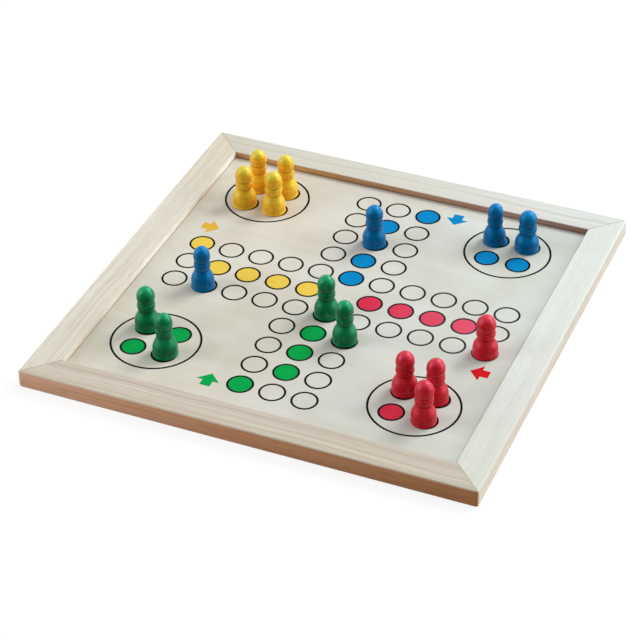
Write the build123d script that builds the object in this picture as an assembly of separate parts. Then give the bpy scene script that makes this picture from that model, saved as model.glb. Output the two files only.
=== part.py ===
from build123d import *
import math
import os

# Framed wooden board game for four players.
# A mitred solid-wood frame holds a thin plywood playing panel in a groove at mid-thickness,
# so the board has a shallow recess on both faces. Sixteen turned pawns stand on the panel.
# Millimetres. Origin: centre of the board on its underside. +Z up, +X along the front rail,
# +Y from the front rail to the back rail.

# Frame
frame_side = 300.0
frame_thickness = 12.0
rail_width = 21.0
corner_radius = 2.0
outer_edge_radius = 1.5
inner_edge_radius = 0.8

# Playing panel and the groove it sits in
panel_thickness = 3.0
groove_depth = 6.0
panel_edge_clearance = 0.5
panel_face_clearance = 0.05

# Loose tongue hidden in each mitre
biscuit_length = 15.0
biscuit_width = 8.0
biscuit_thickness = 2.4
biscuit_clearance = 0.1
biscuit_from_corner = 11.6

# Printed layout that the pawns stand on, measured in from the inner edges of the frame.
# The track is a square of eleven fields a side; each home is a circle with four spots.
track_from_left = 23.3
track_from_right = 20.7
track_from_front = 24.0
track_from_back = 20.0
steps_across_track = 10
home_from_left = 41.8
home_from_right = 42.9
home_from_front = 44.3
home_from_back = 39.9
home_spot_pitch = 21.5

# Turned pawn
pawn_height = 30.0
pawn_head_diameter = 11.4
pawn_bell_diameter = 15.8
foot_flare = 0.2
foot_rounding = 0.8

# Its profile: heights are shares of the whole height, radii are shares of the named radius
foot_groove = (0.083, 0.955)
bell_curve = ((0.167, 1.0), (0.287, 0.91), (0.393, 0.71))
waist = (0.46, 0.85)
collar_height = 0.55
neck_height = 0.65
head_centre = 0.768

# Every pawn is turned and put down by hand, so it differs a little from the next one.
# name: (spot, how far off its middle as a share of the pitch, height, head and bell as shares)
# A home spot is (left or right, front or back) in the home of the pawn's own colour.
# A track field is (columns, rows) from the middle field.
home_pawns = {
    "yellow_pawn_1": ((-1, -1), (-0.05, -0.04), 1.0, 1.05, 1.05),
    "yellow_pawn_2": ((1, -1), (-0.03, -0.05), 1.03, 1.05, 1.01),
    "yellow_pawn_3": ((-1, 1), (0.01, -0.05), 1.02, 1.01, 1.0),
    "yellow_pawn_4": ((1, 1), (-0.045, -0.035), 1.04, 1.01, 1.03),
    "blue_pawn_1": ((-1, 1), (-0.07, -0.075), 1.0, 0.92, 0.95),
    "blue_pawn_2": ((1, 1), (-0.02, -0.07), 0.99, 1.07, 1.02),
    "green_pawn_1": ((-1, 1), (-0.03, 0.02), 1.03, 1.03, 1.0),
    "green_pawn_2": ((1, -1), (0.03, 0.045), 1.03, 0.97, 1.01),
    "red_pawn_1": ((-1, 1), (0.005, 0.03), 0.99, 1.03, 1.02),
    "red_pawn_2": ((1, 1), (-0.07, 0.015), 1.01, 1.03, 1.03),
    "red_pawn_3": ((1, -1), (-0.025, -0.03), 1.01, 1.03, 0.99),
}
track_pawns = {
    "blue_pawn_3": ((0, 3), (-0.035, -0.01), 1.01, 1.03, 0.99),
    "blue_pawn_4": ((-4, -1), (-0.02, -0.04), 1.03, 0.96, 0.96),
    "green_pawn_3": ((0, -1), (0.01, 0.015), 1.01, 1.01, 0.99),
    "green_pawn_4": ((1, -2), (0.0, 0.03), 1.02, 0.98, 1.0),
    "red_pawn_4": ((5, -1), (0.01, -0.01), 0.97, 1.08, 1.02),
}
home_of = {
    "yellow": ("left", "back"),
    "blue": ("right", "back"),
    "green": ("left", "front"),
    "red": ("right", "front"),
}

opening_side = frame_side - 2 * rail_width
panel_side = opening_side + 2 * (groove_depth - panel_edge_clearance)
groove_height = panel_thickness + 2 * panel_face_clearance
mid_height = frame_thickness / 2
panel_top = mid_height + panel_thickness / 2

column_pitch = (opening_side - track_from_left - track_from_right) / steps_across_track
row_pitch = (opening_side - track_from_front - track_from_back) / steps_across_track
home_centre = {
    "left": home_from_left - opening_side / 2,
    "right": opening_side / 2 - home_from_right,
    "front": home_from_front - opening_side / 2,
    "back": opening_side / 2 - home_from_back,
}


def frame_blank():
    """The glued-up frame as one ring: rounded outside, eased inside, grooved for the panel."""
    mid_plane = Plane.XY.offset(mid_height)
    block = extrude(mid_plane * RectangleRounded(frame_side, frame_side, corner_radius),
                    frame_thickness / 2, both=True)
    rims = block.edges().filter_by(lambda edge: abs(edge.center().Z - mid_height) > mid_height - 0.01)
    block = fillet(rims, outer_edge_radius)
    opening = Pos(0, 0, mid_height) * Box(opening_side, opening_side, frame_thickness)
    ring = block - opening
    inner_rims = ring.edges().filter_by(is_opening_rim)
    ring = fillet(inner_rims, inner_edge_radius)
    groove_side = opening_side + 2 * groove_depth
    return ring - Pos(0, 0, mid_height) * Box(groove_side, groove_side, groove_height)


def is_opening_rim(edge):
    """True for the long edges of the opening on the top and bottom faces."""
    centre = edge.center()
    on_face = abs(centre.Z - mid_height) > mid_height - 0.01
    return on_face and max(abs(centre.X), abs(centre.Y)) < opening_side / 2 + 0.01


def biscuit(length, width, thickness):
    """Lens-shaped tongue lying across the front left mitre, long axis along the mitre line."""
    bulge = width / 2
    half = length / 2
    outline = ThreePointArc((-half, 0), (0, bulge), (half, 0)) + ThreePointArc((half, 0), (0, -bulge), (-half, 0))
    lens = extrude(make_face(outline), thickness / 2, both=True)
    along = biscuit_from_corner / math.sqrt(2) - frame_side / 2
    return Pos(along, along, mid_height) * Rot(0, 0, 45) * lens


def front_rail_solid(blank):
    """One side of the frame, cut from it along the two mitre lines, with its biscuit slots."""
    wedge = make_face(Polyline((0, 0), (-frame_side, -frame_side), (frame_side, -frame_side), close=True))
    rail = blank & extrude(wedge, frame_thickness)
    slot = biscuit(biscuit_length + 2 * biscuit_clearance,
                   biscuit_width + 2 * biscuit_clearance,
                   biscuit_thickness + 2 * biscuit_clearance)
    return rail - slot - Rot(0, 0, 90) * slot


def playing_panel_solid():
    """Thin plywood panel whose edges run into the groove on all four sides."""
    return Pos(0, 0, mid_height) * Box(panel_side, panel_side, panel_thickness)


def head_curve(head, height):
    """The egg-shaped head as a weighted curve: its neck, middle and top points, and the weight.

    It is part of an ellipse. The middle point is where the two lines that touch the ellipse at
    the neck and at the top meet.
    """
    centre_z = height * head_centre
    rise = height - centre_z
    neck_angle = math.asin((height * neck_height - centre_z) / rise)
    half_sweep = (math.pi / 2 - neck_angle) / 2
    middle_angle = neck_angle + half_sweep
    weight = math.cos(half_sweep)
    neck = (head * math.cos(neck_angle), height * neck_height)
    middle = (head * math.cos(middle_angle) / weight, centre_z + rise * math.sin(middle_angle) / weight)
    return neck, middle, (0, height), weight


def pawn_solid(height, head_diameter, bell_diameter):
    """One turned pawn standing on z = 0: foot bead, bell, waist, collar bead, neck, egg head."""
    head = head_diameter / 2
    bell = bell_diameter / 2
    foot = bell + foot_flare
    groove = (bell * foot_groove[1], height * foot_groove[0])
    bell_points = [(bell * share, height * level) for level, share in bell_curve]
    waist_point = (head * waist[1], height * waist[0])
    neck, middle, top, weight = head_curve(head, height)
    with BuildPart() as turned:
        with BuildSketch(Plane.XZ):
            with BuildLine():
                Line((0, 0), (foot - foot_rounding, 0))
                TangentArc((foot - foot_rounding, 0), (foot, foot_rounding), tangent=(1, 0))
                TangentArc((foot, foot_rounding), groove, tangent=(0, 1))
                Spline(groove, *bell_points, waist_point)
                ThreePointArc(waist_point, (head, height * collar_height), neck)
                Bezier(neck, middle, top, weights=[1, weight, 1])
                Line(top, (0, 0))
            make_face()
        revolve(axis=Axis.Z)
    return turned.part


def home_spot(name, side):
    """Middle of one of the four spots in the home of the pawn's colour."""
    across, along = home_of[name.split("_")[0]]
    x = home_centre[across] + side[0] * home_spot_pitch / 2
    y = home_centre[along] + side[1] * home_spot_pitch / 2
    return x, y


def track_field(steps):
    """Middle of a track field, in columns and rows from the middle field."""
    x = track_from_left - opening_side / 2 + (steps_across_track / 2 + steps[0]) * column_pitch
    y = track_from_front - opening_side / 2 + (steps_across_track / 2 + steps[1]) * row_pitch
    return x, y


def stand(spot, off, pitch, height, head, bell):
    """One pawn put down near the middle of its spot on the panel."""
    solid = pawn_solid(pawn_height * height, pawn_head_diameter * head, pawn_bell_diameter * bell)
    return Pos(spot[0] + off[0] * pitch, spot[1] + off[1] * pitch, panel_top) * solid


def all_nodes():
    """Every separate piece of the game, by node name."""
    front_rail = front_rail_solid(frame_blank())
    tongue = biscuit(biscuit_length, biscuit_width, biscuit_thickness)
    nodes = {"playing_panel": playing_panel_solid()}
    for turn, side in enumerate(("front", "right", "back", "left")):
        nodes[side + "_rail"] = Rot(0, 0, 90 * turn) * front_rail
    for turn, corner in enumerate(("front_left", "front_right", "back_right", "back_left")):
        nodes[corner + "_biscuit"] = Rot(0, 0, 90 * turn) * tongue
    for name, (side, off, *shares) in home_pawns.items():
        nodes[name] = stand(home_spot(name, side), off, home_spot_pitch, *shares)
    for name, (steps, off, *shares) in track_pawns.items():
        nodes[name] = stand(track_field(steps), off, column_pitch, *shares)
    return nodes


os.makedirs("parts", exist_ok=True)
for node_name, shape in all_nodes().items():
    export_step(shape, f"parts/{node_name}.step")
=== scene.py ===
# %% [markdown]
# A framed wooden game board for four players. The frame, the thin playing panel and the turned
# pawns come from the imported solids, with their real sizes. Here they get their wood, their stain,
# their printed game, and the light of a bright room. Everything is in metres, +Z up.

import math

import bmesh
import bpy
from mathutils import Matrix, Vector


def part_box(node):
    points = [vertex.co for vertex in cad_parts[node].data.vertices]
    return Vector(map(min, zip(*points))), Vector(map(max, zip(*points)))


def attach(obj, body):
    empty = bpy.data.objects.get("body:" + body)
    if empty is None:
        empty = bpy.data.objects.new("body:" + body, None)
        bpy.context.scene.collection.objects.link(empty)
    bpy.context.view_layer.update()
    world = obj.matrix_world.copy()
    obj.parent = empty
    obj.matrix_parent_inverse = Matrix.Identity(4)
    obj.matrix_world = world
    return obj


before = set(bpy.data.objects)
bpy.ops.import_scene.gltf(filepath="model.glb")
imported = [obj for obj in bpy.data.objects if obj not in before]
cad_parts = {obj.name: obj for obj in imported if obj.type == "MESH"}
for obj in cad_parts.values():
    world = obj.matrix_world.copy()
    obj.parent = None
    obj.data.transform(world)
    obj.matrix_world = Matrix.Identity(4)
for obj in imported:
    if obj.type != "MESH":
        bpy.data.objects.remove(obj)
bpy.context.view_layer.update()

# %% [markdown]
# One size in millimetres reads better than one in metres, and web colours read better than linear
# ones, so small functions turn them. A pattern's size is best given as how many millimetres one
# patch of it covers along each axis.
#
# Nodes could be placed by hand in the shader editor, but then they couldn't be read or rerun here.
# One function adds a shader or geometry node with its settings and links: a value that is a socket
# is linked, and anything else is a plain setting. Inputs have a name or, where names repeat, a
# number. The Mix node for colours has its factor at 0, its two colours at 6 and 7, and its result
# at output 2.

# %% Small helpers
def mm(value):
    return value / 1000


def linear(hex_colour):
    """An sRGB hex colour as the linear RGBA that shaders use."""
    parts = [int(hex_colour[i:i + 2], 16) / 255 for i in (0, 2, 4)]
    return [p / 12.92 if p <= 0.04045 else ((p + 0.055) / 1.055) ** 2.4 for p in parts] + [1.0]


def patches_of(x_mm, y_mm, z_mm):
    """How much to multiply a place in metres by, so that one patch covers these millimetres."""
    return (1000 / x_mm, 1000 / y_mm, 1000 / z_mm)


def add(tree, kind, inputs=None, stops=None, **settings):
    """Add a node with its settings, set or link its inputs, and give a colour ramp its stops."""
    node = tree.nodes.new(kind)
    for name, value in settings.items():
        setattr(node, name, value)
    for key, value in (inputs or {}).items():
        if isinstance(value, bpy.types.NodeSocket):
            tree.links.new(value, node.inputs[key])
        else:
            node.inputs[key].default_value = value
    for number, (place, value) in enumerate(stops or []):
        elements = node.color_ramp.elements
        element = elements[number] if number < 2 else elements.new(place)
        element.position = place
        element.color = linear(value) if isinstance(value, str) else (value, value, value, 1)
    return node


def new_material(name):
    """An empty material with its output node, ready for a surface."""
    material = bpy.data.materials.new(name)
    material.use_nodes = True
    material.node_tree.nodes.clear()
    return material, material.node_tree, add(material.node_tree, "ShaderNodeOutputMaterial")


def dress(node_name, material):
    """Give a CAD node its one material."""
    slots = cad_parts[node_name].data.materials
    slots.clear()
    slots.append(material)
    print(node_name, "wears", material.name)


# %% [markdown]
# The camera stands to the right of the front, well above the board, with a long lens. It could be
# moved by eye until the picture looks right. The printed grid is regular, though, so the grid and
# the edges of the frame were fitted to the photograph, which gives these values to a pixel. They
# swing the camera round a target on the board, which is easier to picture than a place in the air.

# %% Camera
CAMERA_AZIMUTH = 22.996
CAMERA_ELEVATION = 36.694
CAMERA_ROLL = -0.562
CAMERA_DISTANCE = 1.4115
CAMERA_TARGET = Vector((-0.0001, -0.0260, 0.0075))
CAMERA_LENS = 124.98
CAMERA_SENSOR = 36

camera_data = bpy.data.cameras.new("camera")
camera_data.lens = CAMERA_LENS
camera_data.sensor_width = CAMERA_SENSOR
camera_data.clip_start = 0.05
camera = bpy.data.objects.new("camera", camera_data)
bpy.context.scene.collection.objects.link(camera)
aim = (Matrix.Rotation(math.radians(CAMERA_AZIMUTH), 3, "Z")
       @ Matrix.Rotation(math.radians(90 - CAMERA_ELEVATION), 3, "X")
       @ Matrix.Rotation(math.radians(CAMERA_ROLL), 3, "Z"))
camera.rotation_euler = aim.to_euler("XYZ")
camera.location = CAMERA_TARGET + aim @ Vector((0, 0, CAMERA_DISTANCE))
bpy.context.scene.camera = camera
print("camera at", [round(c, 3) for c in camera.location])

# %% [markdown]
# A few sizes of the board come back in most finishes: the side of the frame, the width of its
# rails, the opening between them, and the height of the panel's upper face. The last one is
# measured on the solid.

# %% Sizes of the board
FRAME_SIDE = mm(300)
RAIL_WIDTH = mm(21)
RAIL_OUTER = -FRAME_SIDE / 2
OPENING = FRAME_SIDE - 2 * RAIL_WIDTH
PANEL_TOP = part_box("playing_panel")[1].z
print("opening", round(OPENING * 1000, 1), "mm, panel top at", round(PANEL_TOP * 1000, 2), "mm")

# %% [markdown]
# The frame is pale plantation softwood, planed, sanded and left almost raw, with hardly any gloss.
# Its wood could be a picture stretched over the rails, but that blurs close up and repeats from
# rail to rail. Here nodes build it from what the eye sees, each thing at its real size.
#
# First, every point needs its place on its own rail. Four turns of the same coordinates lay every
# rail in front, with X along its grain and Y from its outer edge inwards, so one set of nodes
# serves all four. Grain is never ruled straight, so slow noise moves it sideways by a millimetre
# or two. A shift far along the noise gives each rail a stick of its own.

# %% Frame wood: places on a rail
def places_on_rail(tree, quarter_turns, shift):
    """A point's plain place on its rail, how far across it lies once the grain has swayed, its
    place in the swayed stick, and how much its face stands upright."""
    coords = add(tree, "ShaderNodeTexCoord")
    laid = add(tree, "ShaderNodeMapping", {
        "Vector": coords.outputs["Object"],
        "Rotation": (0, 0, math.radians(-90 * quarter_turns))})
    plain = add(tree, "ShaderNodeSeparateXYZ", {0: laid.outputs[0]})

    stick = add(tree, "ShaderNodeVectorMath", {0: laid.outputs[0], 1: (shift, shift, 0)})
    slow = add(tree, "ShaderNodeVectorMath", {0: stick.outputs[0], 1: patches_of(90, 60, 60)},
               operation="MULTIPLY")
    wander = add(tree, "ShaderNodeTexNoise", {
        "Vector": slow.outputs[0], "Scale": 1.0, "Detail": 2.0})
    sway = add(tree, "ShaderNodeMapRange", {
        "Value": wander.outputs["Fac"], "To Min": mm(-4.5), "To Max": mm(4.5)})
    across = add(tree, "ShaderNodeMath", {0: plain.outputs["Y"], 1: sway.outputs["Result"]})
    swayed = add(tree, "ShaderNodeCombineXYZ", {
        "X": plain.outputs["X"], "Y": across.outputs[0], "Z": plain.outputs["Z"]})
    grown = add(tree, "ShaderNodeVectorMath", {0: swayed.outputs[0], 1: (shift, shift, 0)})

    facing = add(tree, "ShaderNodeSeparateXYZ", {0: coords.outputs["Normal"]})
    upright = add(tree, "ShaderNodeMath", {0: facing.outputs["Z"]}, operation="ABSOLUTE")
    side = add(tree, "ShaderNodeMapRange", {
        "Value": upright.outputs[0], "From Min": 0.92, "From Max": 0.4})
    return plain, across.outputs[0], grown.outputs[0], side.outputs["Result"]


# %% [markdown]
# The tone of a rail comes next. Its sanded faces show a few long bands of growth rings side by
# side, and drift a little from end to end. Its side faces were sawn and are a little warmer, and
# painted shade and light are laid into their tone: deep brown on the front and back rails, whose
# faces stand in shade and darken towards one end, and pale on the left rail, whose inner face is
# lit. Noise could scatter such bands, but each stick has few of them, so colour ramps put them
# where they are.

# %% Frame wood: tone, with painted shade and light on the side faces
def rail_tone(tree, plain, across, side, bands, along, sawn_tone_and_shade):
    """The rail's colour before its grain. Bands are stops from its outer edge inwards. Along, for the
    sanded faces, and the side tone, for the side faces, are stops from end to end. The side tone is
    partly the warmer sawn wood and partly painted shade and light."""
    inwards = add(tree, "ShaderNodeMapRange", {
        "Value": across, "From Min": RAIL_OUTER, "From Max": RAIL_OUTER + RAIL_WIDTH})
    band = add(tree, "ShaderNodeValToRGB", {"Fac": inwards.outputs["Result"]}, stops=bands)
    end_to_end = add(tree, "ShaderNodeMapRange", {
        "Value": plain.outputs["X"], "From Min": RAIL_OUTER, "From Max": -RAIL_OUTER})
    drift = add(tree, "ShaderNodeValToRGB", {"Fac": end_to_end.outputs["Result"]}, stops=along)
    sanded = add(tree, "ShaderNodeMix", {
        0: 1.0, 6: band.outputs["Color"], 7: drift.outputs["Color"]},
        data_type="RGBA", blend_type="MULTIPLY")
    # Side faces: painted shade and light, darker where a face stands in shade and paler where it is
    # lit
    side_tone_and_shade = add(tree, "ShaderNodeValToRGB", {"Fac": end_to_end.outputs["Result"]}, stops=sawn_tone_and_shade)
    faces = add(tree, "ShaderNodeMix", {
        0: side, 6: sanded.outputs[2], 7: side_tone_and_shade.outputs["Color"]}, data_type="RGBA")
    return faces.outputs[2]


# %% [markdown]
# Two patterns make the grain: growth rings, as lines as long as half a rail and about a millimetre
# apart, and fibres with their pores, as short darker dashes. Both are noise that is stretched
# along the rail. A Wave texture could rule the rings, but its lines never fork or fade, and real
# ones do.

# %% Frame wood: grain
def rail_grain(tree, colour, grown, side, ring_depth, fibre_depth):
    """Growth rings and fibres over a colour. The second result is the fibres, for the bump."""
    # Rings: 150 mm long and 1.1 mm apart, stronger on the sawn sides
    ring_cells = add(tree, "ShaderNodeVectorMath", {0: grown, 1: patches_of(150, 1.1, 1.1)},
                     operation="MULTIPLY")
    rings = add(tree, "ShaderNodeTexNoise", {
        "Vector": ring_cells.outputs[0], "Scale": 1.0, "Detail": 2.0})
    ring_tone = add(tree, "ShaderNodeValToRGB", {"Fac": rings.outputs["Fac"]},
                    stops=[(0.36, "EFE6D9"), (0.56, "FFFFFF")])
    ring_share = add(tree, "ShaderNodeMapRange", {
        "Value": side, "To Min": ring_depth, "To Max": 1.0})
    ringed = add(tree, "ShaderNodeMix", {
        0: ring_share.outputs["Result"], 6: colour, 7: ring_tone.outputs["Color"]},
        data_type="RGBA", blend_type="MULTIPLY")

    # Fibres: dashes 11 mm long and 0.6 mm wide, drawn coarser than real ones to show
    fibre_cells = add(tree, "ShaderNodeVectorMath", {0: grown, 1: patches_of(11, 0.6, 0.6)},
                      operation="MULTIPLY")
    fibres = add(tree, "ShaderNodeTexNoise", {
        "Vector": fibre_cells.outputs[0], "Scale": 1.0, "Detail": 2.0})
    fleck = add(tree, "ShaderNodeMapRange", {
        "Value": fibres.outputs["Fac"], "From Min": 0.5, "From Max": 0.75, "To Max": fibre_depth})
    flecked = add(tree, "ShaderNodeMix", {
        0: fleck.outputs["Result"], 6: ringed.outputs[2], 7: linear("B79B77")}, data_type="RGBA")
    return flecked.outputs[2], fibres.outputs["Fac"]


# %% [markdown]
# Two thin lines come next. At the foot of every side face, on the table outside and on the panel
# inside, a dark line is painted shade where the face meets what it stands on, with some dirt
# settled in it. At each mitre the end grain drank the glue, which leaves a hairline along the
# joint. Both could be painted by hand, but they follow from where a point is, so plain sums place
# them.

# %% Frame wood: painted shade at the foot, and glue
def rail_foot_shade_and_glue(tree, colour, plain, side):
    """Painted shade, with some dirt, at the foot of the side faces, and glue along the mitres, over a
    colour.
    """
    inner_half = add(tree, "ShaderNodeMath", {
        0: plain.outputs["Y"], 1: RAIL_OUTER + RAIL_WIDTH / 2}, operation="GREATER_THAN")
    foot = add(tree, "ShaderNodeMapRange", {
        "Value": inner_half.outputs[0], "To Min": mm(0.4), "To Max": PANEL_TOP + mm(0.3)})
    off_foot = add(tree, "ShaderNodeMath", {0: plain.outputs["Z"], 1: foot.outputs["Result"]},
                   operation="SUBTRACT")
    line = add(tree, "ShaderNodeMapRange", {
        "Value": off_foot.outputs[0], "From Min": mm(0.9), "From Max": 0.0, "To Max": 0.6})
    foot_shade = add(tree, "ShaderNodeMath", {0: line.outputs["Result"], 1: side},
                  operation="MULTIPLY")
    # Painted shade, with some dirt: a dark brown line up to 0.9 mm above the foot of each side face
    foot_shaded = add(tree, "ShaderNodeMix", {
        0: foot_shade.outputs[0], 6: colour, 7: linear("6E4426")}, data_type="RGBA")

    # The joint runs where the place along the rail equals the place across it
    from_middle = add(tree, "ShaderNodeMath", {0: plain.outputs["X"]}, operation="ABSOLUTE")
    off_joint = add(tree, "ShaderNodeMath", {0: from_middle.outputs[0], 1: plain.outputs["Y"]})
    joint = add(tree, "ShaderNodeMapRange", {
        "Value": off_joint.outputs[0], "From Min": mm(-0.9), "From Max": mm(-0.1), "To Max": 0.5})
    glued = add(tree, "ShaderNodeMix", {
        0: joint.outputs["Result"], 6: foot_shaded.outputs[2], 7: linear("A08062")}, data_type="RGBA")
    return glued.outputs[2]


# %% [markdown]
# Now the four steps make one material for each rail. Bare sanded softwood scatters light widely:
# its roughness is high and its gloss low, and the fibres stand up just enough to feel. The tones
# of the four sticks are written out one by one, because they are what tells the rails apart: a
# reddish one in front, one with a dark band at the back, and two pale ones at the sides. Their side
# tones hold painted shade and light as well.

# %% Frame wood: the four rails
def softwood(name, quarter_turns, shift, bands, along, sawn_tone_and_shade, ring_depth, fibre_depth):
    """Pale softwood for one rail."""
    material, tree, out = new_material(name)
    plain, across, grown, side = places_on_rail(tree, quarter_turns, shift)
    tone = rail_tone(tree, plain, across, side, bands, along, sawn_tone_and_shade)
    grained, fibres = rail_grain(tree, tone, grown, side, ring_depth, fibre_depth)
    # Painted shade at the foot of the side faces, and glue along the mitres
    shaded_and_glued = rail_foot_shade_and_glue(tree, grained, plain, side)
    bump = add(tree, "ShaderNodeBump", {"Height": fibres, "Strength": 0.15, "Distance": mm(0.12)})
    wood = add(tree, "ShaderNodeBsdfPrincipled", {
        "Base Color": shaded_and_glued, "Roughness": 0.6, "IOR": 1.45, "Specular IOR Level": 0.3,
        "Normal": bump.outputs[0]})
    tree.links.new(wood.outputs[0], out.inputs["Surface"])
    return material


RAIL_WOOD = {
    "front_rail": softwood(
        "sanded_softwood_front", quarter_turns=0, shift=0.31,
        bands=[(0.0, "D7CDBA"), (0.18, "D2C5B0"), (0.30, "DAD1C2"), (0.42, "D4C7B4"),
               (0.55, "DCD3C6"), (0.72, "CFC0AD"), (0.86, "D5C9BB"), (1.0, "D6CCBC")],
        along=[(0.0, "FCFDFE"), (0.9, "F6FAFC"), (1.0, "F0F7FA")],
        # Side tone: painted shade on the front face, deepening to dark brown at its right end
        sawn_tone_and_shade=[(0.0, "F4D5BE"), (0.15, "EECAB1"), (0.5, "D4A888"), (1.0, "B58760")],
        ring_depth=0.8, fibre_depth=0.3),
    "right_rail": softwood(
        "sanded_softwood_right", quarter_turns=1, shift=3.57,
        bands=[(0.0, "E6ECE7"), (0.3, "E6EBE7"), (0.45, "E4E8E4"), (0.6, "E7EDE9"),
               (1.0, "E7EDE9")],
        along=[(0.0, "F3F0E7"), (0.15, "F3F1EA"), (0.3, "F7F5F2"), (1.0, "F5F5F3")],
        sawn_tone_and_shade=[(0.0, "E0E2DE"), (0.5, "DBE0DD"), (1.0, "D9DFDE")],
        ring_depth=0.3, fibre_depth=0.2),
    "back_rail": softwood(
        "sanded_softwood_back", quarter_turns=2, shift=1.72,
        bands=[(0.0, "E2E8E6"), (0.36, "E4EBE8"), (0.45, "D8D9D1"), (0.54, "E5EBE7"),
               (0.8, "E0E5E0"), (1.0, "E3E8E4")],
        along=[(0.0, "F4F3F1"), (0.5, "F2ECE3"), (1.0, "EAE1D3")],
        # Side tone: painted shade on the back rail's inner face, deepest at its right end
        sawn_tone_and_shade=[(0.0, "AA7E6C"), (0.22, "B98F80"), (0.65, "D4A97A"), (1.0, "CA9D6E")],
        ring_depth=0.45, fibre_depth=0.28),
    "left_rail": softwood(
        "sanded_softwood_left", quarter_turns=3, shift=2.13,
        bands=[(0.0, "E8E2D2"), (0.3, "E6E2D4"), (0.5, "E5E1D3"), (0.62, "E0DACA"),
               (0.75, "E6E2D5"), (1.0, "E5E0D0")],
        along=[(0.0, "F9F3E9"), (0.15, "F8F5F1"), (0.3, "FDFDFD"), (0.7, "FFFFFF"),
               (1.0, "FBFBFA")],
        # Side tone: painted light on the left rail's inner face, paler than its top
        sawn_tone_and_shade=[(0.0, "F6F8F8"), (0.4, "FAF7EF"), (1.0, "F8F0E2")],
        ring_depth=0.7, fibre_depth=0.32),
}
for name, material in RAIL_WOOD.items():
    dress(name, material)

# %% [markdown]
# The playing panel is thin plywood with a peeled birch face, sealed with a matt lacquer. A picture
# of birch would do from far off, but its grain would be too bold: on the real sheet the figure is
# wide and faint, because the knife follows the growth rings. So faint noise, stretched along the
# sheet and turned by a few degrees, makes it. Three things lie over it: a tone that is warmer and
# lighter to the left, partly the veneer's own and partly painted light that falls more on the left,
# blotches as big as a coin, where the veneer took the sealer unevenly, and a few short pores that
# stay dark.

# %% Panel plywood: tone and pores
def plywood_face(tree, coords, lie):
    """The sheet's colour, with painted light that makes it lighter to the left, and its pores. The
    second result is the fibres, for the bump.
    """
    turned = add(tree, "ShaderNodeMapping", {
        "Vector": coords.outputs["Object"], "Rotation": (0, 0, math.radians(4))})
    figure_cells = add(tree, "ShaderNodeVectorMath", {
        0: turned.outputs[0], 1: patches_of(80, 7, 7)}, operation="MULTIPLY")
    figure = add(tree, "ShaderNodeTexNoise", {
        "Vector": figure_cells.outputs[0], "Scale": 1.0, "Detail": 3.0})
    veneer = add(tree, "ShaderNodeValToRGB", {"Fac": figure.outputs["Fac"]},
                 stops=[(0.33, "DDE0D9"), (0.62, "E1E4DF")])

    # Partly the veneer's tone, partly painted light: warmer and lighter to the left, cooler and
    # darker to the right
    left_to_right = add(tree, "ShaderNodeMapRange", {
        "Value": lie.outputs["X"], "From Min": -OPENING / 2, "From Max": OPENING / 2})
    warmth_and_painted_light = add(tree, "ShaderNodeValToRGB", {"Fac": left_to_right.outputs["Result"]},
                 stops=[(0.05, "FDF6EB"), (0.3, "FBF3E9"), (0.5, "F6F1EB"), (0.9, "F3F5F1")])
    warmed_and_lit = add(tree, "ShaderNodeMix", {
        0: 1.0, 6: veneer.outputs["Color"], 7: warmth_and_painted_light.outputs["Color"]},
        data_type="RGBA", blend_type="MULTIPLY")

    # Blotches: 28 to a metre, so one is 36 mm wide
    blotch = add(tree, "ShaderNodeTexNoise", {"Vector": coords.outputs["Object"], "Scale": 28.0})
    blotch_tone = add(tree, "ShaderNodeValToRGB", {"Fac": blotch.outputs["Fac"]},
                      stops=[(0.35, "F6F3EE"), (0.65, "FFFFFF")])
    toned = add(tree, "ShaderNodeMix", {
        0: 1.0, 6: warmed_and_lit.outputs[2], 7: blotch_tone.outputs["Color"]},
        data_type="RGBA", blend_type="MULTIPLY")

    fibre_cells = add(tree, "ShaderNodeVectorMath", {
        0: turned.outputs[0], 1: patches_of(14, 0.5, 0.5)}, operation="MULTIPLY")
    fibres = add(tree, "ShaderNodeTexNoise", {
        "Vector": fibre_cells.outputs[0], "Scale": 1.0, "Detail": 1.0})
    pores = add(tree, "ShaderNodeMapRange", {
        "Value": fibres.outputs["Fac"], "From Min": 0.66, "From Max": 0.8, "To Max": 0.35})
    pored = add(tree, "ShaderNodeMix", {
        0: pores.outputs["Result"], 6: toned.outputs[2], 7: linear("B39F86")}, data_type="RGBA")
    return pored.outputs[2], fibres.outputs["Fac"]


# %% [markdown]
# Along the frame a dark line is painted in the corner: painted shade where the panel meets the
# rails, with some dirt and glue in it. Ambient occlusion could find every such corner, but it would
# also darken the panel round each pawn. The line only needs to know how near a point is to the
# opening's edge. The lacquer over it all is a little smoother than the bare frame, which the eye
# sees as a faint veil of light.

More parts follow.
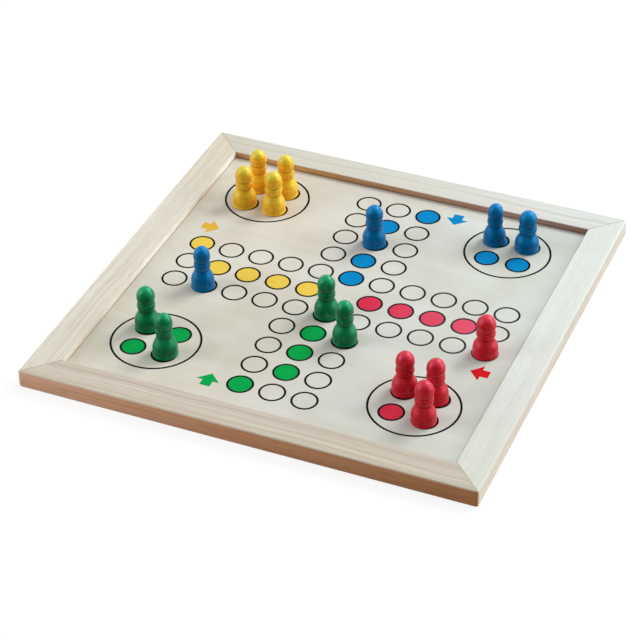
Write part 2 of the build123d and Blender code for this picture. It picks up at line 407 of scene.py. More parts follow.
# %% Panel plywood: the whole finish
def plywood(name):
    """Birch plywood, sealed matt, with a line of painted shade along the frame."""
    material, tree, out = new_material(name)
    coords = add(tree, "ShaderNodeTexCoord")
    lie = add(tree, "ShaderNodeSeparateXYZ", {0: coords.outputs["Object"]})
    face, fibres = plywood_face(tree, coords, lie)

    off_x = add(tree, "ShaderNodeMath", {0: lie.outputs["X"]}, operation="ABSOLUTE")
    off_y = add(tree, "ShaderNodeMath", {0: lie.outputs["Y"]}, operation="ABSOLUTE")
    reach = add(tree, "ShaderNodeMath", {0: off_x.outputs[0], 1: off_y.outputs[0]},
                operation="MAXIMUM")
    # Painted shade, with some dirt and glue: a dark line 0.7 mm wide along the opening's edge
    corner_shade = add(tree, "ShaderNodeMapRange", {
        "Value": reach.outputs[0], "From Min": OPENING / 2 - mm(0.7), "From Max": OPENING / 2,
        "To Max": 0.5})
    corner_shaded = add(tree, "ShaderNodeMix", {
        0: corner_shade.outputs["Result"], 6: face, 7: linear("9A6B45")}, data_type="RGBA")

    bump = add(tree, "ShaderNodeBump", {"Height": fibres, "Strength": 0.08, "Distance": mm(0.1)})
    lacquer = add(tree, "ShaderNodeBsdfPrincipled", {
        "Base Color": corner_shaded.outputs[2], "Roughness": 0.5, "IOR": 1.45, "Specular IOR Level": 0.35,
        "Normal": bump.outputs[0]})
    tree.links.new(lacquer.outputs[0], out.inputs["Surface"])
    return material


dress("playing_panel", plywood("sealed_birch_plywood"))

# %% [markdown]
# The tongues in the mitres are pressed beech, hidden once the frame is glued. They could stay
# plain, but the model can be taken apart, so they get the short reddish fleck of beech and its
# dull, dry face. They lie across the corners, so the fleck is turned by 45 degrees.

# %% Beech biscuits
def pressed_beech(name):
    """Pressed beech, unfinished."""
    material, tree, out = new_material(name)
    coords = add(tree, "ShaderNodeTexCoord")
    turned = add(tree, "ShaderNodeMapping", {
        "Vector": coords.outputs["Object"], "Rotation": (0, 0, math.radians(45))})
    cells = add(tree, "ShaderNodeVectorMath", {0: turned.outputs[0], 1: patches_of(3, 0.6, 0.6)},
                operation="MULTIPLY")
    fleck = add(tree, "ShaderNodeTexNoise", {
        "Vector": cells.outputs[0], "Scale": 1.0, "Detail": 2.0})
    colour = add(tree, "ShaderNodeValToRGB", {"Fac": fleck.outputs["Fac"]},
                 stops=[(0.4, "C49A6C"), (0.62, "A87B4F")])
    wood = add(tree, "ShaderNodeBsdfPrincipled", {
        "Base Color": colour.outputs["Color"], "Roughness": 0.75, "IOR": 1.45})
    tree.links.new(wood.outputs[0], out.inputs["Surface"])
    return material


beech = pressed_beech("pressed_beech")
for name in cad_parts:
    if name.endswith("_biscuit"):
        dress(name, beech)

# %% [markdown]
# The pawns are turned from hardwood dowel and dipped in stain. One flat colour would make plastic
# of them. Stained wood is uneven in two ways, and each is a step here: upright streaks, where the
# grain took up more stain, and paler patches, where the stain is thin and the wood shows through.
# Both are noise, moved by the pawn's own place, so no two pawns are alike. A third step is painted
# light: a lighter, livelier tone on every face that looks up, as if lit from above.

# %% Stained pawns: stain and grain
# The upward tone of each stain is painted light on faces that look up; its crease tone is painted
# shade, with some stain
STAINS = {
    "yellow": {"long_grain": "FFC12C", "streak": "F3AE27", "thin": "FFE660",
               "painted_top_light": "E8D630", "crease_shade_tone": "A86A10", "gloss": "FFF4C0"},
    "blue": {"long_grain": "006298", "streak": "005488", "thin": "2C98D4",
             "painted_top_light": "0080C0", "crease_shade_tone": "003C6C", "gloss": "58B4F0"},
    "green": {"long_grain": "006437", "streak": "00562F", "thin": "48C48E",
              "painted_top_light": "009A5E", "crease_shade_tone": "004626", "gloss": "8CE0B8"},
    "red": {"long_grain": "CC1A22", "streak": "BA1019", "thin": "F05874",
            "painted_top_light": "DC2C42", "crease_shade_tone": "8A0E18", "gloss": "FF9CB4"},
}


def stained_grain(tree, on_axis, upward, tones, low):
    """The stain's colour by the grain under it, with painted light on the faces that look up. The
    second result is the streaks.
    """
    # Seven times its own place brings every pawn to another part of the noise
    dowel = add(tree, "ShaderNodeVectorMath", {0: on_axis, 1: (low.x * 7, low.y * 7, low.x)})

    # Streaks: 18 mm long and 0.8 mm wide
    cells = add(tree, "ShaderNodeVectorMath", {0: dowel.outputs[0], 1: patches_of(0.8, 0.8, 18)},
                operation="MULTIPLY")
    streaks = add(tree, "ShaderNodeTexNoise", {
        "Vector": cells.outputs[0], "Scale": 1.0, "Detail": 2.0})
    stain = add(tree, "ShaderNodeValToRGB", {"Fac": streaks.outputs["Fac"]},
                stops=[(0.38, tones["streak"]), (0.58, tones["long_grain"])])

    # Thin stain: patches 4 mm wide and 9 mm long
    patches = add(tree, "ShaderNodeVectorMath", {0: dowel.outputs[0], 1: patches_of(4, 4, 9)},
                  operation="MULTIPLY")
    thinning = add(tree, "ShaderNodeTexNoise", {
        "Vector": patches.outputs[0], "Scale": 1.0, "Detail": 3.0})
    thin = add(tree, "ShaderNodeMapRange", {
        "Value": thinning.outputs["Fac"], "From Min": 0.5, "From Max": 0.8, "To Max": 0.4})
    long_grain = add(tree, "ShaderNodeMix", {
        0: thin.outputs["Result"], 6: stain.outputs["Color"], 7: linear(tones["thin"])},
        data_type="RGBA")

    # Painted light: faces that look up get a lighter tone, as if lit from above
    grained = add(tree, "ShaderNodeMix", {
        0: upward, 6: long_grain.outputs[2], 7: linear(tones["painted_top_light"])}, data_type="RGBA")
    return grained.outputs[2], streaks.outputs["Fac"]


# %% [markdown]
# The three turned creases, above the foot bead, at the waist and under the head, are darkened with
# painted shade, and some stain has gathered in them too. An Ambient Occlusion node finds what is
# shut in by its own surroundings, but these creases are shallow, so a ramp up the pawn adds them at
# the heights where they were turned, and the node's short darkening is kept wherever it is
# stronger. Every height is a share of the pawn's own, because each pawn is a little taller or
# shorter than the next.

# %% Stained pawns: painted shade and stain in the creases
# Height of each crease, how far it reaches down and up, and the depth of its painted shade and stain
CREASES = [(0.083, 0.017, 0.015, 0.55), (0.460, 0.022, 0.018, 0.6), (0.650, 0.022, 0.026, 0.6)]


def stain_and_shade_in_creases(tree, lie, tall):
    """How dark a pawn this tall is painted at a point in its creases: painted shade, with some stain.
    """
    stops = []
    for height, down, up, depth in CREASES:
        stops += [(height - down, 0.0), (height, depth), (height + up, 0.0)]
    level = add(tree, "ShaderNodeMapRange", {"Value": lie.outputs["Z"], "From Max": tall})
    creases = add(tree, "ShaderNodeValToRGB", {"Fac": level.outputs["Result"]}, stops=stops)
    # Painted shade from a short ambient occlusion, kept where it is darker than the ramp
    shut_in = add(tree, "ShaderNodeAmbientOcclusion", {"Distance": mm(0.9)},
                  samples=8, only_local=True)
    hollow = add(tree, "ShaderNodeMapRange", {
        "Value": shut_in.outputs["AO"], "From Min": 0.72, "From Max": 0.4, "To Max": 0.6})
    crease_stain_and_shade = add(tree, "ShaderNodeMath", {
        0: creases.outputs["Color"], 1: hollow.outputs["Result"]}, operation="MAXIMUM")
    return crease_stain_and_shade.outputs[0]


# %% [markdown]
# The lathe leaves two marks of its own. Its tool draws rings round the pawn, some of which took up
# more stain, and its centre leaves a small dark dot on top of the head, where it held the wood.
# Both could be cut into the mesh, but they are finer than a tenth of a millimetre deep, so they
# are colour here, and a finer set of rings is bump.

# %% Stained pawns: marks of the lathe
def lathe_rings(tree, colour, lie):
    """Rings of the lathe tool over a colour, 1.6 mm wide."""
    noise = add(tree, "ShaderNodeTexNoise", {
        "W": lie.outputs["Z"], "Scale": 1000 / 1.6, "Detail": 2.0}, noise_dimensions="1D")
    tone = add(tree, "ShaderNodeValToRGB", {"Fac": noise.outputs["Fac"]},
               stops=[(0.35, "F2F2F2"), (0.6, "FFFFFF")])
    ringed = add(tree, "ShaderNodeMix", {0: 1.0, 6: colour, 7: tone.outputs["Color"]},
                 data_type="RGBA", blend_type="MULTIPLY")
    return ringed.outputs[2]


def centre_dot(tree, colour, lie, tall):
    """The lathe centre's dot over a colour: under half a millimetre from the axis, on top only."""
    flat = add(tree, "ShaderNodeCombineXYZ", {"X": lie.outputs["X"], "Y": lie.outputs["Y"]})
    radius = add(tree, "ShaderNodeVectorMath", {0: flat.outputs[0]}, operation="LENGTH")
    dot = add(tree, "ShaderNodeMapRange", {
        "Value": radius.outputs["Value"], "From Min": mm(0.55), "From Max": mm(0.25),
        "To Max": 0.35})
    on_top = add(tree, "ShaderNodeMath", {0: lie.outputs["Z"], 1: tall * 0.9},
                 operation="GREATER_THAN")
    centre = add(tree, "ShaderNodeMath", {0: dot.outputs["Result"], 1: on_top.outputs[0]},
                 operation="MULTIPLY")
    dotted = add(tree, "ShaderNodeMix", {0: centre.outputs[0], 6: colour, 7: linear("4A3818")},
                 data_type="RGBA")
    return dotted.outputs[2]


# %% [markdown]
# A satin lacquer goes over it all. It stands on the close end grain and shines brightest there. It
# sank into the long grain, where its gloss keeps the colour of the stain, and it is dull in the
# creases. One material per colour would be shorter, but the rings, the creases and the dot need
# the pawn's own axis and height, so every pawn has its own, centred on it by a Mapping node.

# %% Stained pawns: the whole finish
def stained_wood(name, tones, low, high):
    """Stained, lacquered dowel, for the pawn whose box has these corners."""
    material, tree, out = new_material(name)
    tall = high.z - low.z
    coords = add(tree, "ShaderNodeTexCoord")
    axis = add(tree, "ShaderNodeMapping", {
        "Vector": coords.outputs["Object"],
        "Location": (-(low.x + high.x) / 2, -(low.y + high.y) / 2, -low.z)})
    lie = add(tree, "ShaderNodeSeparateXYZ", {0: axis.outputs[0]})
    facing = add(tree, "ShaderNodeSeparateXYZ", {0: coords.outputs["Normal"]})
    upward = add(tree, "ShaderNodeMapRange", {
        "Value": facing.outputs["Z"], "From Min": 0.2, "From Max": 0.8}).outputs["Result"]

    grained, streaks = stained_grain(tree, axis.outputs[0], upward, tones, low)
    crease_stain_and_shade = stain_and_shade_in_creases(tree, lie, tall)
    # Painted shade in the creases, with some stain: the crease tone is mixed in
    crease_shaded = add(tree, "ShaderNodeMix", {
        0: crease_stain_and_shade, 6: lathe_rings(tree, grained, lie), 7: linear(tones["crease_shade_tone"])},
        data_type="RGBA")
    colour = centre_dot(tree, crease_shaded.outputs[2], lie, tall)

    # Tool marks: faint rings 0.45 mm apart up the pawn
    marks = add(tree, "ShaderNodeTexNoise", {
        "W": lie.outputs["Z"], "Scale": 1000 / 0.45, "Detail": 1.0}, noise_dimensions="1D")
    height = add(tree, "ShaderNodeMath", {0: marks.outputs["Fac"], 1: streaks})
    bump = add(tree, "ShaderNodeBump", {
        "Height": height.outputs[0], "Strength": 0.12, "Distance": mm(0.08)})

    gloss = add(tree, "ShaderNodeMix", {
        0: upward, 6: linear(tones["thin"]), 7: linear(tones["gloss"])}, data_type="RGBA")
    dulled = add(tree, "ShaderNodeMix", {
        0: crease_stain_and_shade, 6: gloss.outputs[2], 7: linear(tones["crease_shade_tone"])}, data_type="RGBA")
    roughness = add(tree, "ShaderNodeMapRange", {
        "Value": crease_stain_and_shade, "From Max": 0.5, "To Min": 0.38, "To Max": 0.9})
    satin = add(tree, "ShaderNodeBsdfPrincipled", {
        "Base Color": colour, "Roughness": roughness.outputs["Result"], "IOR": 1.5,
        "Specular IOR Level": 1.0, "Specular Tint": dulled.outputs[2], "Normal": bump.outputs[0]})
    tree.links.new(satin.outputs[0], out.inputs["Surface"])
    return material


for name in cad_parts:
    if "_pawn_" in name:
        colour, _, number = name.split("_")
        dress(name, stained_wood(f"stained_{colour}_dowel_{number}", STAINS[colour], *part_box(name)))

# %% [markdown]
# The game is screen-printed in one flat black and four flat colours. It could be painted into the
# panel's own material, but screen ink lies on top of the sealer as a thin matt film. So every
# print is a real film with a little height, and its edge stays sharp however near one looks. The
# mesh of the screen and the wood's fibres leave the faintest mottle in the ink. At the right end of
# the track a painted sheen makes the colour paler, as where the window's light glances off the ink.

# %% Printing ink
# Painted sheen: the place where it is strongest and how far it reaches
SHEEN_PLACE = (mm(92), mm(2), PANEL_TOP)
SHEEN_REACH = mm(75)


def printing_ink(name, full, thin, sheen_colour):
    """Flat screen ink, a little mottled, with a painted sheen that pales it round one place at the
    right end of the track.
    """
    material, tree, out = new_material(name)
    coords = add(tree, "ShaderNodeTexCoord")
    cells = add(tree, "ShaderNodeVectorMath", {
        0: coords.outputs["Object"], 1: patches_of(2.2, 0.7, 1)}, operation="MULTIPLY")
    mottle = add(tree, "ShaderNodeTexNoise", {
        "Vector": cells.outputs[0], "Scale": 1.0, "Detail": 2.0})
    colour = add(tree, "ShaderNodeValToRGB", {"Fac": mottle.outputs["Fac"]},
                 stops=[(0.35, thin), (0.6, full)])
    # Painted sheen: the ink turns paler towards one place at the right end of the track
    off_sheen = add(tree, "ShaderNodeVectorMath", {0: coords.outputs["Object"], 1: SHEEN_PLACE},
                  operation="DISTANCE")
    painted_sheen = add(tree, "ShaderNodeMapRange", {
        "Value": off_sheen.outputs["Value"], "From Min": SHEEN_REACH, "From Max": 0.0,
        "To Max": 0.95})
    laid = add(tree, "ShaderNodeMix", {
        0: painted_sheen.outputs["Result"], 6: colour.outputs["Color"], 7: linear(sheen_colour)},
        data_type="RGBA")
    bump = add(tree, "ShaderNodeBump", {
        "Height": mottle.outputs["Fac"], "Strength": 0.05, "Distance": mm(0.05)})
    film = add(tree, "ShaderNodeBsdfPrincipled", {
        "Base Color": laid.outputs[2], "Roughness": 0.6, "IOR": 1.5,
        "Specular IOR Level": 0.05, "Normal": bump.outputs[0]})
    tree.links.new(film.outputs[0], out.inputs["Surface"])
    return material


# The third colour of each ink is its painted sheen
INK = {
    "black": printing_ink("screen_ink_black", "0B0A09", "13110F", "323C3A"),
    "yellow": printing_ink("screen_ink_yellow", "EDCC54", "E8C34A", "F0D46A"),
    "blue": printing_ink("screen_ink_blue", "0088C4", "007FBA", "0C88C2"),
    "green": printing_ink("screen_ink_green", "00A74C", "009C46", "18AA5A"),
    "red": printing_ink("screen_ink_red", "DE3550", "D52B45", "DE566F"),
}
print("inks:", ", ".join(INK))

# %% [markdown]
# The printed rings and discs repeat, so Geometry Nodes make them. Python could write out every
# vertex, but in a tree a size is changed in one place, and it can be tried out by hand. Every
# printed tree starts alike, with named inputs for its sizes, and ends alike, with its ink. Every
# ring is a circle swept with a flat rectangle.

# %% Geometry nodes: what every print shares
RING_SIDES = 96


def geometry_tree(name, sizes):
    """A tree with Geometry in and out, and one named input per size."""
    tree = bpy.data.node_groups.new(name, "GeometryNodeTree")
    tree.interface.new_socket("Geometry", in_out="INPUT", socket_type="NodeSocketGeometry")
    for label, kind in sizes:
        tree.interface.new_socket(label, in_out="INPUT", socket_type=kind)
    tree.interface.new_socket("Geometry", in_out="OUTPUT", socket_type="NodeSocketGeometry")
    return tree, add(tree, "NodeGroupInput"), add(tree, "NodeGroupOutput")


def flat_ring(tree, radius, width, height):
    """A ring of printed line: a circle swept with a flat rectangle."""
    path = add(tree, "GeometryNodeCurvePrimitiveCircle", {
        "Resolution": RING_SIDES, "Radius": radius})
    section = add(tree, "GeometryNodeCurvePrimitiveQuadrilateral", {
        "Width": width, "Height": height})
    ring = add(tree, "GeometryNodeCurveToMesh", {
        "Curve": path.outputs["Curve"], "Profile Curve": section.outputs["Curve"]})
    return ring.outputs["Mesh"]


def ink_and_hand_out(tree, given, out, prints):
    """Make the instances real, give them the tree's ink, and send them out of the tree."""
    real = add(tree, "GeometryNodeRealizeInstances", {"Geometry": prints})
    inked = add(tree, "GeometryNodeSetMaterial", {
        "Geometry": real.outputs[0], "Material": given.outputs["Ink"]})
    tree.links.new(inked.outputs[0], out.inputs["Geometry"])


# %% [markdown]
# A print could stay a live modifier, but the library keeps plain meshes, which open in any
# program. So one function runs a tree on loose points and keeps what comes out. Another closes
# the seams that sweeping leaves, turns every face outwards, and makes the mesh a piece that goes
# with the board, as ink does.

# %% Geometry nodes: from a tree to a piece
def ride_on_board(name, mesh):
    """Close the mesh, turn its faces outwards, and make it a piece that rides the board."""
    shell = bmesh.new()
    shell.from_mesh(mesh)
    bmesh.ops.remove_doubles(shell, verts=shell.verts, dist=mm(0.001))
    bmesh.ops.recalc_face_normals(shell, faces=shell.faces)
    held = shell.calc_volume(signed=True) * 1e9
    shell.to_mesh(mesh)
    shell.free()
    piece = bpy.data.objects.new(name, mesh)
    bpy.context.scene.collection.objects.link(piece)
    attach(piece, "board")
    print(name, "faces", len(mesh.polygons), "ink", round(held, 1), "cubic mm, size",
          [round(d * 1000, 2) for d in piece.dimensions])


def printed_piece(name, tree, values, vertices=((0, 0, 0),)):
    """Run a tree on loose points, with a value for each of its sizes, and keep the result."""
    points = bpy.data.meshes.new(name + "_points")
    points.from_pydata(vertices, [], [])
    source = bpy.data.objects.new(name + "_points", points)
    bpy.context.scene.collection.objects.link(source)
    modifier = source.modifiers.new("print", "NODES")
    modifier.node_group = tree
    for item in tree.interface.items_tree:
        if item.in_out == "INPUT" and item.name in values:
            modifier[item.identifier] = values[item.name]
    bpy.context.view_layer.update()
    evaluated = source.evaluated_get(bpy.context.evaluated_depsgraph_get())
    result = bpy.data.meshes.new_from_object(evaluated)
    bpy.data.objects.remove(source)
    ride_on_board(name, result)


# %% [markdown]
# The track is a cross of fields on an 11 by 11 grid. The screen wasn't laid quite in the middle of
# the frame, so the outermost fields are measured in from the frame's inner edges, and the pitch
# and the centre follow from that. Writing down the centre of every field would say the same, but
# a change of one margin would then change dozens of numbers. The black was printed last, so it
# lies a little higher than the colours.

# %% The track: sizes
FIELDS_ACROSS = 11
TRACK_LEFT, TRACK_RIGHT, TRACK_FRONT, TRACK_BACK = mm(23.3), mm(20.7), mm(24.0), mm(20.0)
PITCH = (OPENING - TRACK_LEFT - TRACK_RIGHT) / (FIELDS_ACROSS - 1)
TRACK_CENTRE = ((TRACK_LEFT - TRACK_RIGHT) / 2, (TRACK_FRONT - TRACK_BACK) / 2)
RING_RADIUS = mm(7.95)
LINE_WIDTH = mm(1.38)
INK_HEIGHT = mm(0.05)
BLACK_LEVEL = PANEL_TOP + mm(0.03)
print("field pitch", round(PITCH * 1000, 2), "mm")

# %% [markdown]
# Every field of the track has a black ring. A grid of points is thinned to the cross by a rule,
# and one flat ring is put on every point that is left. An Array modifier could repeat the ring,
# but it can't leave out the corners. The rule keeps a point if it lies in one of the three middle
# columns or rows, but not at the very centre.

# %% The track: its rings
def track_tree():
    """The cross of rings, in one tree."""
    tree, given, out = geometry_tree("printed_track", [
        ("Field Pitch", "NodeSocketFloat"), ("Ring Radius", "NodeSocketFloat"),
        ("Line Width", "NodeSocketFloat"), ("Ink Height", "NodeSocketFloat"),
        ("Place", "NodeSocketVector"), ("Ink", "NodeSocketMaterial")])
    pitch = given.outputs["Field Pitch"]
    side = add(tree, "ShaderNodeMath", {0: pitch, 1: FIELDS_ACROSS - 1}, operation="MULTIPLY")
    grid = add(tree, "GeometryNodeMeshGrid", {
        "Size X": side.outputs[0], "Size Y": side.outputs[0],
        "Vertices X": FIELDS_ACROSS, "Vertices Y": FIELDS_ACROSS})

    place = add(tree, "GeometryNodeInputPosition")
    in_fields = add(tree, "ShaderNodeVectorMath", {0: place.outputs[0], 1: pitch},
                    operation="DIVIDE")
    from_centre = add(tree, "ShaderNodeVectorMath", {0: in_fields.outputs[0]},
                      operation="ABSOLUTE")
    steps = add(tree, "ShaderNodeSeparateXYZ", {0: from_centre.outputs[0]})
    nearer = add(tree, "ShaderNodeMath", {0: steps.outputs["X"], 1: steps.outputs["Y"]},
                 operation="MINIMUM")
    farther = add(tree, "ShaderNodeMath", {0: steps.outputs["X"], 1: steps.outputs["Y"]},
                  operation="MAXIMUM")
    off_cross = add(tree, "ShaderNodeMath", {0: nearer.outputs[0], 1: 1.5},
                    operation="GREATER_THAN")
    middle = add(tree, "ShaderNodeMath", {0: farther.outputs[0], 1: 0.5}, operation="LESS_THAN")
    unwanted = add(tree, "ShaderNodeMath", {0: off_cross.outputs[0], 1: middle.outputs[0]})
    thinned = add(tree, "GeometryNodeDeleteGeometry", {
        "Geometry": grid.outputs["Mesh"], "Selection": unwanted.outputs[0]})

    ring = flat_ring(tree, given.outputs["Ring Radius"], given.outputs["Line Width"],
                     given.outputs["Ink Height"])
    rings = add(tree, "GeometryNodeInstanceOnPoints", {
        "Points": thinned.outputs[0], "Instance": ring})
    moved = add(tree, "GeometryNodeTransform", {
        "Geometry": rings.outputs[0], "Translation": given.outputs["Place"]})
    ink_and_hand_out(tree, given, out, moved.outputs[0])
    return tree


printed_piece("track_rings", track_tree(), {
    "Field Pitch": PITCH, "Ring Radius": RING_RADIUS, "Line Width": LINE_WIDTH,
    "Ink Height": INK_HEIGHT, "Place": (*TRACK_CENTRE, BLACK_LEVEL), "Ink": INK["black"]})

# %% [markdown]
# Each home is a large ring with four smaller ones in a square inside it. Four trees could make the
# four homes, but one is enough if it starts from four loose points: every point carries one big
# ring and four small ones. The homes, too, are measured in from the frame's inner edges.

# %% The homes
HOME_LEFT, HOME_RIGHT, HOME_FRONT, HOME_BACK = mm(41.8), mm(42.9), mm(44.3), mm(39.9)
HOME_RADIUS = mm(28.5)
HOME_SPOT_RADIUS = mm(7.75)
HOME_SPOT_PITCH = mm(21.5)
HOME_CENTRES = {
    "yellow": (HOME_LEFT - OPENING / 2, OPENING / 2 - HOME_BACK),
    "blue": (OPENING / 2 - HOME_RIGHT, OPENING / 2 - HOME_BACK),
    "green": (HOME_LEFT - OPENING / 2, HOME_FRONT - OPENING / 2),
    "red": (OPENING / 2 - HOME_RIGHT, HOME_FRONT - OPENING / 2),
}


def homes_tree():
    """One home on every point that the tree is given."""
    tree, given, out = geometry_tree("printed_homes", [
        ("Home Radius", "NodeSocketFloat"), ("Spot Radius", "NodeSocketFloat"),
        ("Spot Pitch", "NodeSocketFloat"), ("Line Width", "NodeSocketFloat"),
        ("Ink Height", "NodeSocketFloat"), ("Ink", "NodeSocketMaterial")])
    width, height = given.outputs["Line Width"], given.outputs["Ink Height"]
    large = flat_ring(tree, given.outputs["Home Radius"], width, height)
    small = flat_ring(tree, given.outputs["Spot Radius"], width, height)
    square = add(tree, "GeometryNodeMeshGrid", {
        "Size X": given.outputs["Spot Pitch"], "Size Y": given.outputs["Spot Pitch"],
        "Vertices X": 2, "Vertices Y": 2})
    spots = add(tree, "GeometryNodeInstanceOnPoints", {
        "Points": square.outputs["Mesh"], "Instance": small})
    home = add(tree, "GeometryNodeJoinGeometry")
    tree.links.new(large, home.inputs[0])
    tree.links.new(spots.outputs[0], home.inputs[0])
    homes = add(tree, "GeometryNodeInstanceOnPoints", {
        "Points": given.outputs["Geometry"], "Instance": home.outputs[0]})
    ink_and_hand_out(tree, given, out, homes.outputs[0])
    return tree


printed_piece("home_rings", homes_tree(), {
    "Home Radius": HOME_RADIUS, "Spot Radius": HOME_SPOT_RADIUS, "Spot Pitch": HOME_SPOT_PITCH,
    "Line Width": LINE_WIDTH, "Ink Height": INK_HEIGHT, "Ink": INK["black"],
}, [(x, y, BLACK_LEVEL) for x, y in HOME_CENTRES.values()])

# %% [markdown]
# The coloured fields are discs of ink under the black line. The track's own tree could fill its
# rings, but then every field would have to know its colour. One disc put on many points is
# plainer, and the same tree serves all four colours. The points are a colour's start field, its
# home column and its four home spots.

# %% The coloured fields
DISC_SIDES = 64
COLOUR_LEVEL = PANEL_TOP + mm(0.01)
# The start field and home column of each colour, in fields right of and behind the track's centre
COLOUR_FIELDS = {
    "yellow": [(-5, 1), (-4, 0), (-3, 0), (-2, 0), (-1, 0)],
    "blue": [(1, 5), (0, 4), (0, 3), (0, 2), (0, 1)],
    "green": [(-1, -5), (0, -4), (0, -3), (0, -2), (0, -1)],
    "red": [(5, -1), (4, 0), (3, 0), (2, 0), (1, 0)],
}


def field(column, row):
    """Where a field lies, from how many fields right of and behind the track's centre it is."""
    return TRACK_CENTRE[0] + column * PITCH, TRACK_CENTRE[1] + row * PITCH


def discs_tree():
    """One disc on every point that the tree is given."""
    tree, given, out = geometry_tree("printed_fields", [
        ("Disc Radius", "NodeSocketFloat"), ("Ink Height", "NodeSocketFloat"),
        ("Ink", "NodeSocketMaterial")])
    disc = add(tree, "GeometryNodeMeshCylinder", {
        "Vertices": DISC_SIDES, "Radius": given.outputs["Disc Radius"],
        "Depth": given.outputs["Ink Height"]})
    discs = add(tree, "GeometryNodeInstanceOnPoints", {
        "Points": given.outputs["Geometry"], "Instance": disc.outputs["Mesh"]})
    ink_and_hand_out(tree, given, out, discs.outputs[0])
    return tree


fields_tree = discs_tree()
for colour, fields in COLOUR_FIELDS.items():
    home_x, home_y = HOME_CENTRES[colour]
    half = HOME_SPOT_PITCH / 2
    spots = [(home_x + i * half, home_y + j * half) for i in (-1, 1) for j in (-1, 1)]
    points = [(x, y, COLOUR_LEVEL) for x, y in [field(*f) for f in fields] + spots]
    printed_piece(colour + "_fields", fields_tree, {
        "Disc Radius": RING_RADIUS, "Ink Height": INK_HEIGHT, "Ink": INK[colour]}, points)

# %% [markdown]
# Each colour starts its round at a short block arrow. It is one flat seven-cornered outline, given
# the same small height as the other prints, and it reaches a hair into the panel, so no light
# gets under it. There are only four, so a few lines of Python are plainer here than a tree. The
# arrows were printed in a pass of their own, with a stronger red and a more orange yellow.

# %% Start arrows
ARROW_HEAD = (mm(7.3), mm(15.1))
ARROW_SHAFT = (mm(5.1), mm(6.8))
ARROW_LEVELS = (PANEL_TOP - mm(0.01), PANEL_TOP + INK_HEIGHT)
# The middle of each arrow, in fields from the track's centre, and its heading in degrees
ARROWS = {
    "yellow": ((-5.14, 1.93), 0),
    "blue": ((1.90, 5.18), -90),
    "green": ((-1.935, -5.14), 90),
    "red": ((5.17, -1.936), 180),
}
# The third colour of each arrow ink is its painted sheen
ARROW_INK = {
    "yellow": printing_ink("screen_ink_deep_yellow", "E6B641", "E0AE3B", "E9BC55"),
    "blue": INK["blue"],
    "green": INK["green"],
    "red": printing_ink("screen_ink_vivid_red", "D2181F", "C8141B", "D41C24"),
}


def arrow_outline(middle, heading):
    """The seven corners of an arrow on the board."""
    head_long, head_wide = ARROW_HEAD
    shaft_long, shaft_wide = ARROW_SHAFT
    tip = (head_long + shaft_long) / 2
    neck = tip - head_long
    corners = [(tip, 0), (neck, head_wide / 2), (neck, shaft_wide / 2), (-tip, shaft_wide / 2),
               (-tip, -shaft_wide / 2), (neck, -shaft_wide / 2), (neck, -head_wide / 2)]
    c, s = math.cos(math.radians(heading)), math.sin(math.radians(heading))
    x0, y0 = field(*middle)
    return [(x0 + c * x - s * y, y0 + s * x + c * y) for x, y in corners]


for colour, (middle, heading) in ARROWS.items():
    outline = arrow_outline(middle, heading)
    n = len(outline)
    vertices = [(x, y, level) for level in ARROW_LEVELS for x, y in outline]
    faces = [tuple(range(n, 2 * n)), tuple(reversed(range(n)))]
    faces += [(i, (i + 1) % n, n + (i + 1) % n, n + i) for i in range(n)]
    mesh = bpy.data.meshes.new(colour + "_arrow")
    mesh.from_pydata(vertices, [], faces)
    mesh.materials.append(ARROW_INK[colour])
    ride_on_board(colour + "_arrow", mesh)

# %% [markdown]
# The board lies on a plain pale floor. A plain white one would need strong lamps to look white,
# and they would wash out the wood. So the camera, and anything glossy, sees a grey floor with a
# white glow of its own: almost white, with the object's shadow still on it. Further off, less
# lamplight falls on it, so there more of the white is glow. For the light that it throws back,
# the floor is a warm table, so the faces that look down at it stay as deep as on a real one.

# %% Floor
FLOOR_REACH = 6
FLOOR_DROP = mm(0.2)
GLOW_DISTANCES = (0.5, 1.3)
GLOW_SHARES = (0.84, 1.0)


def floor_material():
    """Almost white for the camera and for gloss, and a warm table for all other light."""
    material, tree, out = new_material("pale_floor")
    path = add(tree, "ShaderNodeLightPath")
    mirrored = add(tree, "ShaderNodeMath", {
        0: path.outputs["Is Glossy Ray"], 1: path.outputs["Is Transmission Ray"]},
        operation="MAXIMUM")
    seen = add(tree, "ShaderNodeMath", {
        0: path.outputs["Is Camera Ray"], 1: mirrored.outputs[0]}, operation="MAXIMUM")
    colour = add(tree, "ShaderNodeMix", {
        0: seen.outputs[0], 6: linear("D6AE84"), 7: linear("7C7C7C")}, data_type="RGBA")
    paper = add(tree, "ShaderNodeBsdfDiffuse", {"Color": colour.outputs[2]})

    coords = add(tree, "ShaderNodeTexCoord")
    away = add(tree, "ShaderNodeVectorMath", {0: coords.outputs["Object"]}, operation="LENGTH")
    share = add(tree, "ShaderNodeMapRange", {
        "Value": away.outputs["Value"],
        "From Min": GLOW_DISTANCES[0], "From Max": GLOW_DISTANCES[1],
        "To Min": GLOW_SHARES[0], "To Max": GLOW_SHARES[1]})
    strength = add(tree, "ShaderNodeMath", {0: seen.outputs[0], 1: share.outputs["Result"]},
                   operation="MULTIPLY")
    glow = add(tree, "ShaderNodeEmission", {
        "Color": (1, 1, 1, 1), "Strength": strength.outputs[0]})
    both = add(tree, "ShaderNodeAddShader", {0: paper.outputs[0], 1: glow.outputs[0]})
    tree.links.new(both.outputs[0], out.inputs["Surface"])
    return material


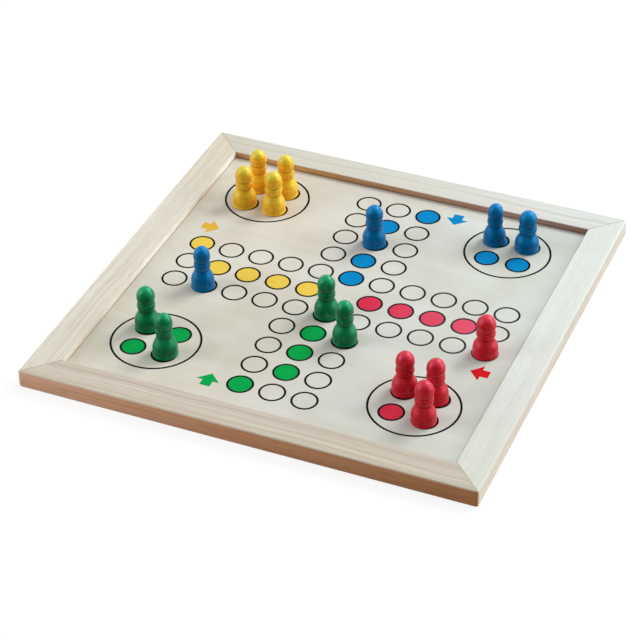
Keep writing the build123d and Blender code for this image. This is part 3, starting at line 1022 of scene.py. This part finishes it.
r = FLOOR_REACH
floor_mesh = bpy.data.meshes.new("floor")
floor_mesh.from_pydata([(-r, -r, 0), (r, -r, 0), (r, r, 0), (-r, r, 0)], [], [(0, 1, 2, 3)])
floor_mesh.materials.append(floor_material())
floor = bpy.data.objects.new("floor", floor_mesh)
bpy.context.scene.collection.objects.link(floor)
floor.location.z = -FLOOR_DROP
print("floor", [round(d, 1) for d in floor.dimensions], "m")

# %% [markdown]
# The key light is a window behind on the right, about as high as it is far. It throws the short,
# soft shadows of the pawns to the front left. Two broad pale walls throw light back: the right one
# on the right sides of the pawns and the inner face of the left rail, and the left one on their
# left sides. A sun lamp would be simpler, but its shadows are hard from end to end. Under a round
# area lamp a shadow softens as it gets longer, as it does beside a real window.

# %% Light: the window and two walls
def soft_lamp(name, azimuth, elevation, distance, size, watts, colour):
    """A round lamp that looks at the board. Azimuth goes from the right towards the back."""
    data = bpy.data.lights.new(name, "AREA")
    data.shape = "DISK"
    data.size = size
    data.energy = watts
    data.color = linear(colour)[:3]
    lamp = bpy.data.objects.new(name, data)
    bpy.context.scene.collection.objects.link(lamp)
    a, e = math.radians(azimuth), math.radians(elevation)
    lamp.location = (distance * math.cos(a) * math.cos(e), distance * math.sin(a) * math.cos(e),
                     distance * math.sin(e))
    lamp.rotation_euler = (math.pi / 2 - e, 0, a + math.pi / 2)
    print(name, watts, "watts at", [round(c, 2) for c in lamp.location])


soft_lamp("window", azimuth=58, elevation=45, distance=1.8, size=0.85, watts=19,
          colour="FBFDFF")
soft_lamp("right_wall", azimuth=20, elevation=17, distance=3.0, size=2.6, watts=51,
          colour="FBFDFF")
soft_lamp("left_wall", azimuth=208, elevation=26, distance=2.4, size=1.8, watts=28,
          colour="F8FAFF")

# %% [markdown]
# The room fills in the rest: white all round, but dim and warm in front, on the side away from
# the window. More lamps could do that, but light that comes from all round is plainer as a world,
# and it draws no edged shadow. The camera sees it plain white, and gloss sees it as bright as
# white paper, while the light that falls on the board from it is about half as strong.

# %% Light: the room
DIM_SIDE = (0.39, -0.88, -0.2)
ROOM_STRENGTH = 0.48

world = bpy.data.worlds.new("room")
bpy.context.scene.world = world
world.use_nodes = True
room = world.node_tree
room.nodes.clear()
direction = add(room, "ShaderNodeTexCoord")
frontal = add(room, "ShaderNodeVectorMath", {
    0: direction.outputs["Generated"], 1: DIM_SIDE}, operation="DOT_PRODUCT")
shade = add(room, "ShaderNodeMapRange", {
    "Value": frontal.outputs["Value"], "From Min": 0.0, "From Max": 0.6},
    interpolation_type="SMOOTHSTEP")
walls = add(room, "ShaderNodeMix", {
    0: shade.outputs["Result"], 6: linear("F4F7FA"), 7: linear("4A3222")}, data_type="RGBA")
path = add(room, "ShaderNodeLightPath")
seen = add(room, "ShaderNodeMath", {
    0: path.outputs["Is Camera Ray"], 1: path.outputs["Is Transmission Ray"]},
    operation="MAXIMUM")
shown = add(room, "ShaderNodeMath", {
    0: seen.outputs[0], 1: path.outputs["Is Glossy Ray"]}, operation="MAXIMUM")
colour = add(room, "ShaderNodeMix", {
    0: seen.outputs[0], 6: walls.outputs[2], 7: (1, 1, 1, 1)}, data_type="RGBA")
strength = add(room, "ShaderNodeMapRange", {
    "Value": shown.outputs[0], "To Min": ROOM_STRENGTH, "To Max": 1.0})
background = add(room, "ShaderNodeBackground", {
    "Color": colour.outputs[2], "Strength": strength.outputs["Result"]})
add(room, "ShaderNodeOutputWorld", {"Surface": background.outputs[0]})
print("room nodes:", len(room.nodes))

# %% [markdown]
# The colours are meant to come out as they were written, so the view transform is the plain one.

# %% Finish
bpy.context.scene.view_settings.view_transform = "Standard"
